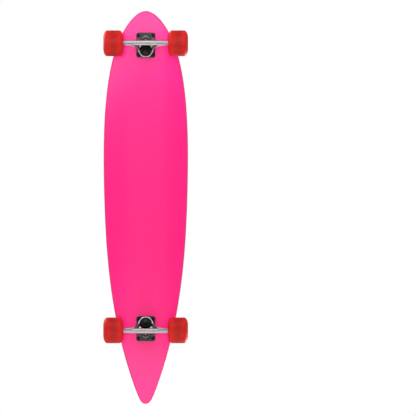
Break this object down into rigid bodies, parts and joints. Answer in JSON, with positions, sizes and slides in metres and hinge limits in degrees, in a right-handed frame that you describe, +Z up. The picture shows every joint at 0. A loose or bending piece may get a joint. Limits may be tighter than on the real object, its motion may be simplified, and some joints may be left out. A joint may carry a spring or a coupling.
{
  "type": "longboard skateboard",
  "caption": "Pintail longboard skateboard: pressed plywood deck with grip tape on top, cast trucks that lean on rubber bushings to steer, and soft translucent wheels on ball bearings.",
  "frame": {"origin": "bottom centre of the overall box: midway along and across the board, on the floor under the wheels", "axes": "+Z up, +Y along the board towards its rounded nose, +X along the axles"},
  "size_m": [0.2296, 1.067, 0.116],
  "materials": {
    "deck": "satin paint",
    "grip_tape": "coarse grit",
    "cast_plate": "tumbled casting",
    "cast_hanger": "polished casting",
    "pivot_cup": "matt",
    "bushing": "satin",
    "washer": "dark plated",
    "fastener": "black oxide",
    "axle": "zinc plated",
    "bearing": "ground",
    "shield": "pressed",
    "wheel": "translucent satin"
  },
  "bodies": {
    "board": {"deck": "deck", "grip_tape": "grip_tape", "front_baseplate": "cast_plate", "front_pivot_cup": "pivot_cup", "front_kingpin": "fastener", "front_kingpin_nut": "fastener", "front_boardside_bushing": "bushing", "front_roadside_bushing": "bushing", "front_boardside_washer": "washer", "front_roadside_washer": "washer", "front_mounting_bolts": "fastener", "front_mounting_nuts": "fastener", "rear_baseplate": "cast_plate", "rear_pivot_cup": "pivot_cup", "rear_kingpin": "fastener", "rear_kingpin_nut": "fastener", "rear_boardside_bushing": "bushing", "rear_roadside_bushing": "bushing", "rear_boardside_washer": "washer", "rear_roadside_washer": "washer", "rear_mounting_bolts": "fastener", "rear_mounting_nuts": "fastener"},
    "front_steering": {"front_hanger": "cast_hanger", "front_axle": "axle", "front_bearing_inner_rings": "bearing", "front_bearing_spacers": "bearing", "front_speed_washers": "washer", "front_axle_nuts": "fastener"},
    "front_left_roller": {"front_left_wheel": "wheel", "front_left_bearing_outer_rings": "bearing", "front_left_bearing_ball_rings": "bearing", "front_left_bearing_shields": "shield"},
    "front_right_roller": {"front_right_wheel": "wheel", "front_right_bearing_outer_rings": "bearing", "front_right_bearing_ball_rings": "bearing", "front_right_bearing_shields": "shield"},
    "rear_steering": {"rear_hanger": "cast_hanger", "rear_axle": "axle", "rear_bearing_inner_rings": "bearing", "rear_bearing_spacers": "bearing", "rear_speed_washers": "washer", "rear_axle_nuts": "fastener"},
    "rear_left_roller": {"rear_left_wheel": "wheel", "rear_left_bearing_outer_rings": "bearing", "rear_left_bearing_ball_rings": "bearing", "rear_left_bearing_shields": "shield"},
    "rear_right_roller": {"rear_right_wheel": "wheel", "rear_right_bearing_outer_rings": "bearing", "rear_right_bearing_ball_rings": "bearing", "rear_right_bearing_shields": "shield"}
  },
  "joints": [
    {"name": "front_lean", "type": "hinge", "parent": "board", "child": "front_steering", "pos_m": [0, 0.42794, 0.0625], "axis": [0, 0.8455, 0.534], "range_deg": [-15, 15], "stiffness_Nm_per_rad": 90, "deforming": ["front_boardside_bushing", "front_roadside_bushing"]},
    {"name": "front_left_spin", "type": "hinge", "parent": "front_steering", "child": "front_left_roller", "pos_m": [-0.0878, 0.44494, 0.035], "axis": [1, 0, 0], "continuous": true},
    {"name": "front_right_spin", "type": "hinge", "parent": "front_steering", "child": "front_right_roller", "pos_m": [0.0878, 0.44494, 0.035], "axis": [1, 0, 0], "continuous": true},
    {"name": "rear_lean", "type": "hinge", "parent": "board", "child": "rear_steering", "pos_m": [0, -0.3159, 0.0625], "axis": [0, -0.8455, 0.534], "range_deg": [-15, 15], "stiffness_Nm_per_rad": 90, "deforming": ["rear_boardside_bushing", "rear_roadside_bushing"]},
    {"name": "rear_left_spin", "type": "hinge", "parent": "rear_steering", "child": "rear_left_roller", "pos_m": [-0.0878, -0.3329, 0.035], "axis": [1, 0, 0], "continuous": true},
    {"name": "rear_right_spin", "type": "hinge", "parent": "rear_steering", "child": "rear_right_roller", "pos_m": [0.0878, -0.3329, 0.035], "axis": [1, 0, 0], "continuous": true}
  ]
}
